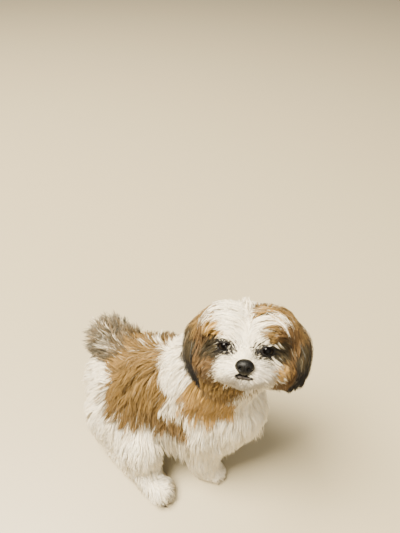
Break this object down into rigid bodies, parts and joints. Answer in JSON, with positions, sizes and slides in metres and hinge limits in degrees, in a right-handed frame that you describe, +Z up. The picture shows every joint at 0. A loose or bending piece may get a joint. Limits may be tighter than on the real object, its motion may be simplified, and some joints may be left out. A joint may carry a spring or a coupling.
{
  "type": "sitting shih tzu",
  "caption": "Life-size model of a shih tzu sitting on the floor, long coat in white and gold, head turned over the right shoulder and tipped up.",
  "frame": {"origin": "on the floor, under the middle of the model's outline", "axes": "the trunk faces -Y, the dog's left side is +X, +Z is up; the head is turned towards -X"},
  "size_m": [0.2753, 0.3781, 0.3756],
  "materials": {
    "coat": "long soft fur, white with golden-brown patches and dark ear tips",
    "eye": "wet, very dark brown",
    "nose_leather": "black, finely pebbled and slightly moist"
  },
  "bodies": {
    "root": {"trunk": "coat", "neck": "coat", "head": "coat", "ear_left": "coat", "ear_right": "coat", "tail": "coat", "foreleg_left": "coat", "foreleg_right": "coat", "hindleg_left": "coat", "hindleg_right": "coat", "eye_left": "eye", "eye_right": "eye", "nose": "nose_leather"}
  },
  "joints": []
}
